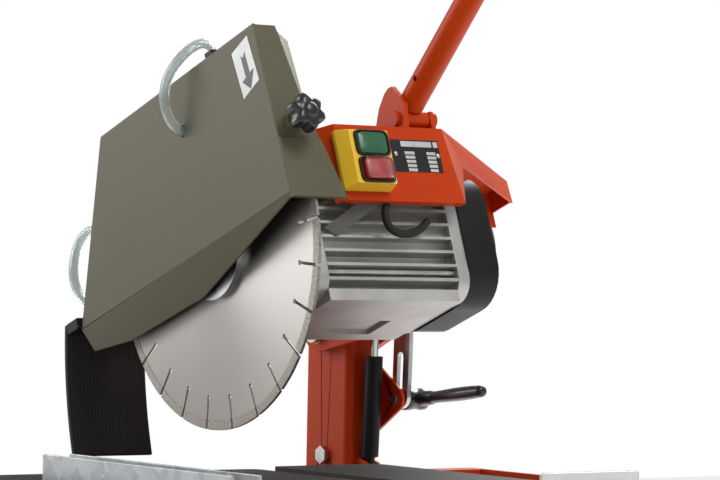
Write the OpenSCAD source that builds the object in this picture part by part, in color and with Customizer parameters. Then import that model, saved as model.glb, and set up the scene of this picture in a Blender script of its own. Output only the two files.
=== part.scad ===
// Wet tile cutter: a tilting saw head over a rolling cart and a water tank.
// Stand, tank and column carry the head; the head swings about one axle.

/* [Blade] */
// Diameter of the diamond blade
blade_d = 350; // [320:1:360]
// Thickness of the blade core
core_t = 2.6; // [2.2:0.1:3]
// Thickness of the diamond segments
segment_t = 3.2; // [3:0.1:3.6]
// Height of the diamond segments
segment_h = 9; // [7:0.5:12]
// Number of segments
segments = 24; // [18:1:28]
// Width of the gap between segments
slot_w = 3; // [2:0.5:4]
// Diameter of the clamping flanges
flange_d = 96; // [80:1:100]

/* [Head] */
// Height of the blade axis above the floor
axis_h = 970; // [960:1:1100]
// Rest pitch of the head, front up
pitch = 21; // [15:1:24]
// Diameter of the motor shaft at the blade
shaft_d = 25; // [20:1:25.4]
// Width across the motor's fins
motor_w = 136; // [130:1:140]
// Length of the finned motor body
motor_l = 158; // [140:1:162]
// Thickness of the sheet metal covers
sheet = 2; // [1.5:0.1:2.5]
// Depth of the cooling fins
fin_h = 11; // [8:1:12]
// Number of fins on each side of the motor
fins = 8; // [4:1:9]
// Radius of the fan cover
fan_cover_r = 70; // [69:0.5:71]

/* [Guard] */
// Height of the guard above the blade axis
guard_top = 168; // [166:1:180]
// Distance of the guard's outer sheet from the blade
guard_out = 30; // [26:1:34]
// Distance of the guard's inner sheet from the blade
guard_in = 22; // [21.5:0.1:22.5]
// Diameter of the spigot the guard turns on
spigot_d = 110; // [104:1:112]
// Diameter of the water hose
hose_d = 10; // [8:0.5:11]

/* [Handle] */
// Diameter of the handle tube
handle_d = 26.5; // [24:0.5:30]
// Length of the handle tube
handle_l = 420; // [300:10:500]
// Sideways place of the handle
handle_x = 205; // [185:1:206]

/* [Column] */
// Depth of the column tube
column_y = 80; // [70:1:84]
// Width of the column tube
column_x = 40; // [36:1:42]
// Wall of the steel tubes
tube_wall = 3; // [2:0.5:4]
// Diameter of the axle the head swings on
axle_d = 25; // [20:1:28]
// Diameter of the gas strut body
strut_d = 18.5; // [16:0.5:20]
// Diameter of the gas strut rod
rod_d = 8; // [7:0.5:10]

/* [Stand] */
// Width of the rails and legs
rail_w = 40; // [36:1:44]
// Length of the rails
rail_l = 930; // [900:10:1000]
// Distance between the rail centres
rail_gap = 600; // [590:1:610]
// Depth of the water tank
tank_h = 190; // [180:1:220]
// Diameter of the cart rollers
roller_d = 36; // [32:1:38]

/* [Cart] */
// Depth of the cart, front to back
cart_l = 427; // [400:1:440]
// Thickness of the deck sheets
deck_t = 4; // [3:0.5:5]
// Height of the fence
fence_h = 25; // [20:1:30]

/* [Clearances] */
// Gap between parts that move past each other
gap = 0.4; // [0.3:0.05:0.6]
// Radial running clearance of shafts and bushes
run = 0.05; // [0.02:0.01:0.1]
// Radial clearance of bolts in their holes
bolt_gap = 0.3; // [0.2:0.05:0.5]

/* [Hidden] */
$fn = 64;

// the blade axis lies along X; these place it over the middle of the stand
blade_x = -33.5;
blade_y = 135;
blade_r = blade_d / 2;
core_r = blade_r - segment_h;
slot_l = 24;
flange_r = flange_d / 2;
shaft_r = shaft_d / 2;
nut_face = -18;
guard_back_gap = 0.3;
spigot_r = spigot_d / 2;
spigot_x = guard_in - sheet - guard_back_gap;
shoulder_x = guard_in + guard_back_gap;
motor_x = 78;
motor_end = motor_x + motor_l;
body_r = motor_w / 2 - fin_h;
stator_r = body_r - 5;
rotor_r = 33;
bearing_r = 26;
bearing_w = 14;

// the head swings about this axle, Y and Z from the blade axis in the rest pose
pivot_y = 188;
pivot_z = -80;
axle_r = axle_d / 2;
bush_r = axle_r + 4;
boss_r = 25;
cheek_t = 8;
column_mid = 285;
cheek_gap = 4.7;
left_cheek = column_mid - column_x / 2 - cheek_gap - cheek_t;
right_cheek = column_mid + column_x / 2 + 12;
pivot_ly = pivot_y * cos(pitch) - pivot_z * sin(pitch);
pivot_lz = pivot_y * sin(pitch) + pivot_z * cos(pitch);
column_front = pivot_y - 1 - column_y / 2;
column_top = pivot_z + 25;

// rails, tank and floor, measured from the blade axis
rail_top = -260;
rail_h = 60;
rail_front = -600;
left_rail = column_mid - rail_gap;
floor_z = -axis_h;
foot_h = 12;
leg_top = rail_top - rail_h;
leg_inset = rail_w + 22;
deck_top = -207.5;
cart_back = -83;
cart_front = cart_back - cart_l;
roller_r = roller_d / 2;
roller_z = rail_top + roller_r;
flange_over = 5;
stud_r = 5;

// gas strut and lock, Y and Z from the blade axis in the rest pose
strut_lean = 2.48;
strut_foot = [135.1, -228];
strut_l = 168;
strut_eye_r = 12;
strut_pin = [130, -60];
strut_pin_r = 4.5;
bar_pin = [114, -58];
lock_pos = [117, -153];
bar_x = 310.5;
bar_t = 5;
bar_lean = 1.8;
lever_x = bar_x + bar_t + gap;
lock_r = 3;

// water hose route, a loop up out of the guard and over its top
hose_route = [[-28, -23, 116], [-34, -23, 116], [-46, -22, 118], [-57, -20, 127], [-62, -19, 141],
    [-60, -21, 158], [-53, -27, 174], [-42, -36, 188], [-28, -46, 197], [-14, -54, 199],
    [-5, -57, 195], [-2, -58, 187]];
loop_route = [[-10, 180, 91], [-10, 188, 92], [-12, 202, 96], [-15, 217, 91], [-18, 228, 76], [-19, 234, 58],
    [-16, 235, 41], [-10, 231, 28], [-3, 223, 21], [0, 214, 21]];

// ---------- placing ----------
module saw_at() translate([blade_x, blade_y, axis_h]) children();
module head_at() saw_at() rotate([-pitch, 0, 0]) children();
// a rod along X from x0 to x1, through a Y, Z place
module rod_x(x0, x1, y, z, r) translate([x0, y, z]) rotate([0, 90, 0]) cylinder(h = x1 - x0, r = r);
// a sheet outline given as Y, Z points, from x0 to x1
module slab_x(x0, x1, pts) translate([x0, 0, 0]) rotate([90, 0, 90])
    linear_extrude(x1 - x0) polygon(pts);
// a sheet outline given as X, Z points, from y0 to y1
module slab_y(y0, y1, pts) translate([0, y1, 0]) rotate([90, 0, 0])
    linear_extrude(y1 - y0) polygon(pts);
module slab_z(z0, z1, pts) translate([0, 0, z0]) linear_extrude(z1 - z0) polygon(pts);
module block(a, b) translate(a) cube(b - a);
module round_rect(w, h, r) hull() for (i = [-1, 1], j = [-1, 1])
    translate([i * (w / 2 - r), j * (h / 2 - r)]) circle(r, $fn = 32);
// a flat convex piece of sheet between space points, thickened by a step
module bent_sheet(pts, step) {
    n = len(pts);
    hull() polyhedron(
        points = concat(pts, [for (p = pts) p + step]),
        faces = concat(
            [for (i = [1 : n - 2]) [0, i + 1, i]],
            [for (i = [1 : n - 2]) [n, n + i, n + i + 1]],
            [for (i = [0 : n - 1]) [i, (i + 1) % n, n + (i + 1) % n, n + i]]));
}
function unit(v) = v / norm(v);
// a round tube swept along a route, with 8 sides
function ring(route, i, r) =
    let (n = len(route),
        t = unit(route[min(i + 1, n - 1)] - route[max(i - 1, 0)]),
        a = unit(cross(t, [0.3, 0.2, 1])),
        b = cross(t, a))
    [for (k = [0 : 7]) route[i] + r * (cos(45 * k) * a + sin(45 * k) * b)];
module sweep(route, r) {
    n = len(route);
    polyhedron(
        points = [for (i = [0 : n - 1]) each ring(route, i, r)],
        faces = concat(
            [[for (k = [0 : 7]) k]],
            [[for (k = [7 : -1 : 0]) (n - 1) * 8 + k]],
            [for (i = [0 : n - 2], k = [0 : 7])
                [i * 8 + k, (i + 1) * 8 + k, (i + 1) * 8 + (k + 1) % 8, i * 8 + (k + 1) % 8]]));
}
module hex_x(x0, x1, y, z, across) translate([x0, y, z]) rotate([0, 90, 0])
    cylinder(h = x1 - x0, r = across / 2 / cos(30), $fn = 6);
// box tubes along Y, and along X with a drain hole below
module tube_y(x, y0, y1, z0, z1, w) difference() {
    block([x - w / 2, y0, z0], [x + w / 2, y1, z1]);
    block([x - w / 2 + tube_wall, y0 - 1, z0 + tube_wall], [x + w / 2 - tube_wall, y1 + 1, z1 - tube_wall]);
}
module tube_x(x0, x1, y, z0, z1, w) difference() {
    block([x0, y - w / 2, z0], [x1, y + w / 2, z1]);
    block([x0, y - w / 2 + tube_wall, z0 + tube_wall], [x1, y + w / 2 - tube_wall, z1 - tube_wall]);
    translate([x0 + drain_inset, y, z0 - 1]) cylinder(h = tube_wall + 2, r = drain_r);
}

// ---------- stand ----------
rail_back = rail_front + rail_l;
rails = [left_rail, column_mid];
tank_left = left_rail + rail_w / 2 + 9;
tank_right = column_mid - rail_w / 2 - 9;
tank_front = rail_front + rail_w + 4;
tank_back = rail_back - rail_w - 4;
column_holes = [-22, -45];
rail_holes = [-12 - 8, -12 - 32];
bolt_r = 5;
module bolt_x(x0, x1, y, z, r, head) {
    rod_x(x0, x1, y, z, r);
    hex_x(x0 - head, x0, y, z, 3.4 * r);
    hex_x(x1, x1 + head, y, z, 3.4 * r);
}
leg_ys = [rail_front + leg_inset, rail_back - leg_inset];
leg_drop = 70;
drain_inset = 30;
drain_r = 5;
beam_left = left_rail + rail_w / 2;
beam_right = column_mid - rail_w / 2;
module base_frame() color("orangered") saw_at() difference() {
    union() {
        for (x = rails) tube_y(x, rail_front, rail_back, rail_top - rail_h, rail_top, rail_w);
        for (y = [rail_front + rail_w / 2, rail_back - rail_w / 2])
            tube_x(beam_left, beam_right, y, rail_top - rail_h, rail_top - sheet, rail_w);
    }
    for (y = leg_ys, x = rails) rod_x(x - rail_w, x + rail_w, y, leg_top + 20, bolt_r + bolt_gap);
    for (dz = rail_holes)
        rod_x(column_mid - rail_w, column_mid + rail_w, pivot_y, rail_top + dz, bolt_r + bolt_gap);
}
module water_tank() color("silver") saw_at() difference() {
    union() {
        block([tank_left, tank_front, rail_top - tank_h], [tank_right, tank_back, rail_top]);
        for (y = [tank_front - 26, tank_back - 1])
            block([tank_left, y, rail_top - sheet], [tank_right, y + 27, rail_top]);
    }
    block([tank_left + sheet, tank_front + sheet, rail_top - tank_h + sheet],
        [tank_right - sheet, tank_back - sheet, rail_top + 1]);
    translate([-100, tank_front - 1, rail_top - tank_h + 24]) rotate([-90, 0, 0])
        cylinder(h = 20, r = 12 + bolt_gap);
}
module leg(x, y) {
    difference() {
        block([x - rail_w / 2, y - rail_w / 2, floor_z + foot_h], [x + rail_w / 2, y + rail_w / 2, leg_top]);
        block([x - rail_w / 2 + tube_wall, y - rail_w / 2 + tube_wall, floor_z + foot_h - 1],
            [x + rail_w / 2 - tube_wall, y + rail_w / 2 - tube_wall, leg_top - tube_wall]);
    }
    side = x < 0 ? -1 : 1;
    translate([x + side * (rail_w / 2 + 3), y, leg_top - leg_drop / 2 + 20])
        cube([6, rail_w, leg_drop + 40], center = true);
}
module leg_frame(y) difference() {
    union() {
        for (x = rails) leg(x, y);
        tube_x(beam_left, beam_right, y, floor_z + 180, floor_z + 215, rail_w);
    }
    for (x = rails) rod_x(x - rail_w, x + rail_w, y, leg_top + 20, bolt_r + bolt_gap);
}
module front_legs() color("orangered") saw_at() leg_frame(leg_ys[0]);
module rear_legs() color("orangered") saw_at() leg_frame(leg_ys[1]);
module leg_bolts() color("silver") saw_at() for (y = leg_ys, x = rails) {
    side = x < 0 ? -1 : 1;
    bolt_x(x - rail_w / 2 - (side < 0 ? 6 : 0), x + rail_w / 2 + (side > 0 ? 6 : 0),
        y, leg_top + 20, bolt_r, 7);
}
module rubber_feet() color("black") saw_at() for (y = leg_ys, x = rails)
    translate([x, y, floor_z]) linear_extrude(foot_h) round_rect(rail_w + 6, rail_w + 6, 6);
module column() color("orangered") saw_at() difference() {
    translate([column_mid, column_front + column_y / 2, rail_top])
        linear_extrude(column_top - rail_top) difference() {
            round_rect(column_x, column_y, 8);
            round_rect(column_x - 2 * tube_wall, column_y - 2 * tube_wall, 5);
        }
    rod_x(column_mid - column_x, column_mid + column_x, pivot_y, pivot_z, axle_r + run);
    for (dz = column_holes)
        rod_x(column_mid - column_x, column_mid + column_x, pivot_y, rail_top - dz, bolt_r + bolt_gap);
}
module column_cap() color("black") saw_at() {
    translate([column_mid, column_front + column_y / 2, column_top])
        linear_extrude(3) round_rect(column_x, column_y, 8);
    translate([column_mid, column_front + column_y / 2, column_top - 10])
        linear_extrude(10) round_rect(column_x - 2 * tube_wall - 1, column_y - 2 * tube_wall - 1, 4);
}
plate_x = column_mid + column_x / 2;
module column_plate() color("orangered") saw_at() difference() {
    block([plate_x, pivot_y - 30, rail_top - 55], [plate_x + 6, pivot_y + 30, rail_top + 60]);
    for (dz = [-column_holes[0], -column_holes[1], rail_holes[0], rail_holes[1]])
        rod_x(plate_x - 1, plate_x + 7, pivot_y, rail_top + dz, bolt_r + bolt_gap);
}
module column_bolts() color("silver") saw_at()
    for (dz = [-column_holes[0], -column_holes[1], rail_holes[0], rail_holes[1]])
        bolt_x(column_mid - column_x / 2, plate_x + 6, pivot_y, rail_top + dz, bolt_r, 6);
module pivot_axle() color("silver") saw_at() {
    rod_x(left_cheek - 3, right_cheek + cheek_t + 3, pivot_y, pivot_z, axle_r);
    rod_x(left_cheek - 8, left_cheek - 3, pivot_y, pivot_z, axle_r + 3);
    rod_x(right_cheek + cheek_t + 3, right_cheek + cheek_t + 8, pivot_y, pivot_z, axle_r + 3);
    rod_x(column_mid + column_x / 2, right_cheek - 2 - gap, pivot_y, pivot_z, axle_r + 6);
}
module lock_bracket() color("orangered") saw_at() difference() {
    slab_x(plate_x, plate_x + 4, concat([[pivot_y - 40, -118], [pivot_y - 40, -188]],
        [for (a = [-110 : -20 : -250]) [lock_pos[0] + 13 * cos(a), lock_pos[1] + 13 * sin(a)]]));
    rod_x(plate_x - 1, plate_x + 5, lock_pos[0], lock_pos[1], lock_r + bolt_gap);
}
module lock_bolt() color("silver") saw_at() {
    rod_x(plate_x - 1, lever_x + 24, lock_pos[0], lock_pos[1], lock_r);
    hex_x(plate_x - 3, plate_x - 1, lock_pos[0], lock_pos[1], 10);
    rod_x(plate_x + 4, bar_x - gap, lock_pos[0], lock_pos[1], lock_r + 3);
}
module strut_at() saw_at() translate([column_mid + 1, strut_foot[0], strut_foot[1]])
    rotate([strut_lean, 0, 0]) children();
body_top = 120;
module strut_body() color("black") strut_at() difference() {
    union() {
        translate([0, 0, 14]) cylinder(h = body_top - 14, r = strut_d / 2);
        rod_x(-4, 4, 0, 0, 9);
        translate([0, 0, 6]) cylinder(h = 10, r = 5);
    }
    translate([0, 0, 18]) cylinder(h = body_top - 18 - 8, r = strut_d / 2 - 1.8);
    translate([0, 0, body_top - 9]) cylinder(h = 10, r = rod_d / 2 + run);
    rod_x(-5, 5, 0, 0, 4 + bolt_gap);
}
module strut_pin() color("orangered") saw_at() {
    for (x = [column_mid + 1 - 9, column_mid + 1 + 5])
        slab_x(x, x + 4, concat([[column_front, strut_foot[1] + 14], [column_front, strut_foot[1] - 14]],
            [for (a = [-100 : -20 : -260]) strut_foot + 10 * [cos(a), sin(a)]]));
    rod_x(column_mid - 8, column_mid + 10, strut_foot[0], strut_foot[1], 4);
}
module water_pump() color("dimgray") saw_at()
    translate([tank_left + 70, tank_back - 70, rail_top - tank_h + sheet]) {
    cylinder(h = 16, r = 42);
    translate([0, 0, 16]) cylinder(h = 84, r = 36);
    translate([0, 0, 100]) cylinder(h = 12, r = 24);
    translate([0, 0, 112]) cylinder(h = 22, r = 8);
}
module drain_plug() color("black") saw_at()
    translate([-100, tank_front, rail_top - tank_h + 24]) rotate([90, 0, 0]) {
        translate([0, 0, -8]) cylinder(h = 8, r = 12);
        cylinder(h = 8, r = 18);
        translate([0, 0, 8]) cylinder(h = 14, r = 13, $fn = 6);
    }

// ---------- cart ----------
side_h = 38;
side_z = deck_top - deck_t;
side_left = left_rail + rail_w / 2 + 8;
side_right = column_mid - rail_w / 2 - 15;
deck_left = -330;
slot_left = -6;
slot_right = 12;
right_deck_w = 128;
right_deck_top = deck_top + 2;
beam_h = 20;
roller_ys = [cart_front + 40, cart_back - 42];
module cart_frame() color("orangered") saw_at() difference() {
    union() {
        for (x = [side_left, side_right])
            block([x, cart_front, side_z - side_h], [x + 7, cart_back, side_z]);
        block([side_left, cart_front, side_z - beam_h], [side_right, cart_front + 30, side_z]);
        block([side_left, cart_back - 20, side_z - beam_h], [slot_left - 4, cart_back, side_z]);
        block([slot_right + 4, cart_back - 20, side_z - beam_h], [side_right, cart_back, side_z]);
        block([slot_right + 4, cart_front, side_z - beam_h], [slot_right + 34, cart_back, side_z]);
        block([slot_left - 34, cart_front, side_z - beam_h], [slot_left - 4, cart_back, side_z]);
    }
    for (x = [side_left, side_right], y = roller_ys) rod_x(x - 1, x + 8, y, roller_z, stud_r + bolt_gap);
}
module left_deck() color("#2b2422") saw_at()
    translate([(deck_left + slot_left) / 2, (cart_back + cart_front) / 2, side_z])
        linear_extrude(deck_t) round_rect(slot_left - deck_left, cart_l, 12);
stop_back = cart_front + 22;
module right_deck() color("#1d1d1e") saw_at()
    translate([slot_right + right_deck_w / 2, (cart_back + stop_back + gap) / 2, side_z])
        linear_extrude(right_deck_top - side_z) round_rect(right_deck_w, cart_back - stop_back - gap, 10);
module cart_stop() color("whitesmoke") saw_at() {
    block([slot_right + 6, stop_back - 4, side_z], [slot_right + 118, stop_back, right_deck_top + 19.4]);
    block([slot_right + 6, cart_front, side_z], [slot_right + 118, stop_back - 3.8, right_deck_top + 3]);
}
fence_x = deck_left + 26;
module fence() color("silver") saw_at() {
    z = deck_top + gap;
    for (x = [fence_x, fence_x + 27])
        block([x, cart_front + 20, z], [x + 3, cart_back - 105, z + fence_h]);
    block([fence_x, cart_front + 20, z], [fence_x + 30, cart_back - 105, z + 3]);
}
module roller(x, y, side) {
    rod_x(x - 15, x + 15, y, roller_z, roller_r);
    edge = x + side * (rail_w / 2 + 0.5);
    over = edge + side * flange_over;
    rod_x(min(edge, over), max(edge, over), y, roller_z, roller_r + 5);
    rod_x(min(x, edge), max(x, edge), y, roller_z, roller_r - 3);
}
module roller_pair(y) difference() {
    for (x = rails) roller(x, y, x < 0 ? 1 : -1);
    for (x = rails) rod_x(x - 40, x + 40, y, roller_z, stud_r + run);
}
module front_rollers() color("dimgray") saw_at() roller_pair(roller_ys[0]);
module rear_rollers() color("dimgray") saw_at() roller_pair(roller_ys[1]);
module roller_studs() color("silver") saw_at() for (y = roller_ys) {
    rod_x(left_rail - 18, side_left + 12, y, roller_z, stud_r);
    rod_x(left_rail - 22, left_rail - 15 - gap, y, roller_z, stud_r + 3);
    hex_x(side_left + 7, side_left + 12, y, roller_z, 15);
    rod_x(side_right - 5, column_mid + 18, y, roller_z, stud_r);
    rod_x(column_mid + 15 + gap, column_mid + 22, y, roller_z, stud_r + 3);
    hex_x(side_right - 5, side_right, y, roller_z, 15);
}

// ---------- head ----------
plate_z = -motor_w / 2 - 4;
cheek_front = fan_cover_r + 6;
cheek_tie = [100, 0];
module cheek(x, low) difference() {
    hull() {
        slab_x(x, x + cheek_t,
            [[cheek_front, low], [cheek_front, 15], [cheek_front + 20, 15], [cheek_front + 20, low]]);
        rod_x(x, x + cheek_t, pivot_ly, pivot_lz, boss_r, $fn = 32);
    }
    rod_x(x - 1, x + cheek_t + 1, pivot_ly, pivot_lz, bush_r);
}
back_y = fan_cover_r + 1;
module swing_arm() color("orangered") head_at() {
    cheek(left_cheek, -50);
    cheek(right_cheek, -25);
    rod_x(left_cheek + cheek_t, right_cheek, cheek_tie[0], cheek_tie[1], 12);
    rod_x(left_cheek + cheek_t, right_cheek, strut_pin_l[0], strut_pin_l[1], strut_pin_r);
    rod_x(bar_x - 2, right_cheek, bar_pin_l[0], bar_pin_l[1], 5);
    block([motor_x + 10, back_y, -30], [left_cheek + cheek_t, cheek_front + 4, 30]);
    block([motor_x + 10, motor_w / 2, -30], [motor_end - 10, back_y + 1, 30]);
}
function to_head(p) = [p[0] * cos(pitch) - p[1] * sin(pitch), p[0] * sin(pitch) + p[1] * cos(pitch)];
strut_pin_l = to_head(strut_pin);
bar_pin_l = to_head(bar_pin);
module pivot_bushes() color("goldenrod") head_at() {
    for (x = [left_cheek, right_cheek]) difference() {
        rod_x(x - 1.5, x + cheek_t + 1.5, pivot_ly, pivot_lz, bush_r);
        rod_x(x - 3, x + cheek_t + 3, pivot_ly, pivot_lz, axle_r + run);
    }
}
fin_pitch = (motor_w - 20) / fins;
module motor_profile() difference() {
    union() {
        circle(body_r);
        intersection() {
            round_rect(motor_w, motor_w, 26);
            union() {
                for (i = [0 : fins - 1], s = [-1, 1]) {
                    at = (i - (fins - 1) / 2) * fin_pitch;
                    translate([s * motor_w / 4, at]) square([motor_w / 2, 3], center = true);
                    translate([at, motor_w / 4]) square([3, motor_w / 2], center = true);
                }
                translate([0, -motor_w / 4 - 4]) square([motor_w - 44, motor_w / 2 - 8], center = true);
            }
        }
    }
    circle(stator_r);
}
foot_hole = [127, 192];
module motor_body() color("silver") head_at() {
    translate([motor_x, 0, 0]) rotate([90, 0, 90]) linear_extrude(motor_l) motor_profile();
    difference() {
        block([motor_x, -62, plate_z], [motor_end, 56, -motor_w / 2 + 8]);
        block([foot_hole[0], -2, plate_z - 1], [foot_hole[1], 39, plate_z + 5]);
    }
}
module stator() color("sienna") head_at() translate([motor_x + 26, 0, 0]) rotate([0, 90, 0]) difference() {
    cylinder(h = motor_l - 52, r = stator_r);
    translate([0, 0, -1]) cylinder(h = motor_l, r = rotor_r + 1);
}
tie_at = motor_w / 2 - 14;
module tie_holes(x0, x1, r) for (y = [-1, 1], z = [-1, 1])
    rod_x(x0, x1, y * (tie_at + 6), z * (tie_at - 12), r);
module drive_end_bracket() color("gray") head_at() difference() {
    union() {
        translate([motor_x - 14, 0, 0]) rotate([90, 0, 90])
            linear_extrude(14) round_rect(motor_w, motor_w, 24);
        rod_x(shoulder_x, motor_x - 13, 0, 0, spigot_r + 8);
        rod_x(spigot_x, shoulder_x + 1, 0, 0, spigot_r);
    }
    rod_x(spigot_x - 1, motor_x + 1, 0, 0, 18);
    rod_x(motor_x - bearing_w, motor_x + 1, 0, 0, bearing_r);
    rod_x(spigot_x - 1, motor_x - bearing_w - 6, 0, 0, bearing_r + 4);
    tie_holes(motor_x - 15, motor_x + 1, 3 + bolt_gap);
}
module rear_bracket() color("gray") head_at() difference() {
    translate([motor_end, 0, 0]) rotate([90, 0, 90]) linear_extrude(14) round_rect(motor_w, motor_w, 24);
    rod_x(motor_end - 1, motor_end + bearing_w, 0, 0, bearing_r);
    rod_x(motor_end - 1, motor_end + 15, 0, 0, 14);
    tie_holes(motor_end - 1, motor_end + 15, 3 + bolt_gap);
}
fan_end = motor_end + 64;
module fan_cover() color("black") head_at() difference() {
    union() {
        translate([motor_end + 14, 0, 0]) rotate([90, 0, 90])
            linear_extrude(38) round_rect(2 * fan_cover_r, 2 * fan_cover_r, 40);
        translate([fan_end - 12, 0, 0]) rotate([0, 90, 0])
            cylinder(h = 12, r1 = fan_cover_r, r2 = fan_cover_r - 12, $fn = 40);
        block([fan_end - 8, -10, 10], [fan_end + 6, -6, 33]);
    }
    rod_x(motor_end + 13, fan_end - 14, 0, 0, fan_cover_r - 2.5);
    for (a = [0 : 30 : 330], r = [20, 36, 50])
        translate([fan_end - 16, 0, 0]) rotate([a, 0, 0]) translate([0, r, 0]) rotate([0, 90, 0])
            cylinder(h = 20, r = 4);
    tie_holes(motor_end + 10, motor_end + 20, 6);
}
module bearings() color("silver") head_at() for (x = [motor_x - bearing_w, motor_end]) difference() {
    rod_x(x, x + bearing_w, 0, 0, bearing_r);
    rod_x(x - 1, x + bearing_w + 1, 0, 0, shaft_r + run);
}
module tie_bolts() color("silver") head_at() {
    tie_holes(motor_x - 14, motor_end + 14, 3);
    for (y = [-1, 1], z = [-1, 1]) {
        hex_x(motor_x - 18, motor_x - 14, y * (tie_at + 6), z * (tie_at - 12), 10);
        hex_x(motor_end + 14, motor_end + 19, y * (tie_at + 6), z * (tie_at - 12), 10);
    }
}
cover_top = 100;
cover_front = -95;
cover_low = 20;
cover_left = 98;
fold_top = [231, cover_front, cover_top];
fold_low = [242, cover_front, cover_low];
wing_end = [412, 37, cover_top];
band = 24;
band_end = [415, 38.5, cover_top - band];
band_start = [277, -60, cover_top - band];
cover_back = 72;
module head_cover() color("orangered") head_at() {
    slab_y(cover_front, cover_front + sheet,
        [[cover_left, cover_low], [cover_left, cover_top], [fold_top[0], cover_top],
            [fold_low[0], cover_low]]);
    slab_z(cover_top - sheet, cover_top,
        [[cover_left - 16, cover_front + 20], [cover_left, cover_front], [fold_top[0], cover_front],
            [wing_end[0], wing_end[1]], [wing_end[0], cover_back], [cover_left - 16, cover_back]]);
    in_step = sheet * [-sin(36), cos(36), 0];
    bent_sheet([fold_top, wing_end, band_end, band_start], in_step);
    bent_sheet([fold_top, band_start, fold_low], in_step);
    bent_sheet([[cover_left - 16, cover_front + 20, cover_top], [cover_left, cover_front, cover_top],
        [cover_left, cover_front, cover_low], [cover_left - 8, cover_front + 10, cover_low]], [1.3, 1.6, 0]);
    block([cover_left, cover_front, cover_low], [fold_low[0], cover_front + 9, cover_low + sheet]);
    block([cover_left - 16, cover_back - sheet, cover_low + 40], [wing_end[0], cover_back, cover_top]);
    block([wing_end[0] - sheet, wing_end[1], cover_top - band], [wing_end[0], cover_back, cover_top]);
}
module cover_brackets() color("silver") head_at() for (x = [motor_x + 26, motor_end - 38])
    block([x, -12, motor_w / 2], [x + 14, 30, cover_top - sheet]);
switch_x = [93, 150];
switch_z = [29, 91];
switch_d = 17;
button_w = 40;
button_h = 23;
button_x = 127;
module switch_housing() color("gold") head_at() difference() {
    hull() {
        block([switch_x[0], cover_front - 5, switch_z[0]], [switch_x[1], cover_front, switch_z[1]]);
        block([switch_x[0] + 9, cover_front - switch_d, switch_z[0] + 3],
            [switch_x[1] - 1, cover_front - 5, switch_z[1] - 3]);
    }
    for (z = [74, 46])
        block([button_x - button_w / 2 + 2, cover_front - switch_d - 1, z - button_h / 2],
            [button_x + button_w / 2 - 2, cover_front - 4, z + button_h / 2]);
}
module button(z, reach) {
    w = button_w / 2 - 2 - gap;
    h = button_h / 2 - gap;
    block([button_x - w, cover_front - switch_d - reach, z - h], [button_x + w, cover_front - 9, z + h]);
}
module start_button() color("green") head_at() button(74, 1.5);
module stop_button() color("red") head_at() button(46, 5);
module rating_plate() color("black") head_at()
    block([163, cover_front - 0.8, 52], [222, cover_front, 86]);
cable_route = [[150, -86, 20], [150, -86, 12], [144, -85, 2], [150, -80, -8], [168, -77, -12],
    [188, -76, -8], [206, -76, 2]];
module switch_cable() color("black") head_at() sweep(cable_route, 4);
hinge_y = -82;
hinge_z = 114;
rise = 26.5;
foot = [-88, 128];
gusset_x = handle_x - handle_d / 2 - gap - 5;
module handle_mount() color("orangered") head_at() {
    difference() {
        slab_x(gusset_x, gusset_x + 5, [[-38, cover_top], [-94.8, cover_top], [-97, 112], [-100, 124],
            [-93, 137], [-86.5, 147.4], [-80, 148], [-72, 144.8], [-58.8, 134.1], [-50.6, 122.3]]);
        rod_x(gusset_x - 1, gusset_x + 6, hinge_y, hinge_z, 5 + bolt_gap);
    }
    rod_x(gusset_x - 4, gusset_x, hinge_y, hinge_z, 8);
    rod_x(gusset_x - 4, handle_x + 26, hinge_y, hinge_z, 5);
    block([handle_x + 18, hinge_y - 9, cover_top], [handle_x + 23, hinge_y + 9, hinge_z + 6]);
    rod_x(handle_x + 23, handle_x + 28, hinge_y, hinge_z, 8);
}
module handle_at() head_at() translate([handle_x, foot[0], foot[1]]) rotate([90 - rise, 0, 0]) children();
module handle_tube() color("orangered") difference() {
    union() {
        handle_at() cylinder(h = handle_l, r = handle_d / 2);
        head_at() rod_x(gusset_x + 5 + gap, handle_x + 17, hinge_y, hinge_z, 9);
        head_at() block([handle_x - 4, hinge_y - 8, hinge_z + 4], [handle_x + 4, hinge_y + 2, foot[1] + 6]);
    }
    handle_at() translate([0, 0, 14]) cylinder(h = handle_l, r = handle_d / 2 - tube_wall);
    head_at() rod_x(gusset_x, handle_x + 18, hinge_y, hinge_z, 5 + run);
    handle_at() translate([0, 0, 34]) rod_x(-handle_d, 0, 0, 0, 3);
}
module handle_grip() color("black") handle_at() difference() {
    union() {
        translate([0, 0, handle_l - 115]) cylinder(h = 120, r = handle_d / 2 + 3.5);
        translate([0, 0, handle_l - 119]) cylinder(h = 5, r = handle_d / 2 + 6);
    }
    translate([0, 0, handle_l - 130]) cylinder(h = 130, r = handle_d / 2 + run);
}

// ---------- blade drive ----------
module rotor() color("silver") head_at() {
    rod_x(nut_face - 4, motor_end + 40, 0, 0, shaft_r);
    rod_x(motor_x + 30, motor_end - 30, 0, 0, rotor_r);
    rod_x(motor_end + 20, motor_end + 36, 0, 0, 30);
    for (a = [0 : 45 : 315]) rotate([a, 0, 0]) block([motor_end + 21, 26, -1.5], [motor_end + 35, 58, 1.5]);
}
module inner_flange() color("silver") head_at() difference() {
    rod_x(core_t / 2, 12, 0, 0, flange_r);
    rod_x(0, 13, 0, 0, shaft_r);
}
module outer_flange() color("silver") head_at() difference() {
    union() {
        rod_x(-8, -core_t / 2, 0, 0, flange_r);
        rod_x(-11, -7, 0, 0, 24);
    }
    rod_x(-12, 0, 0, 0, shaft_r);
}
module arbor_nut() color("silver") head_at() difference() {
    hex_x(nut_face - 2, -11, 0, 0, 38);
    rod_x(nut_face - 3, -10, 0, 0, shaft_r);
}
first_slot = 234.5;
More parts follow.
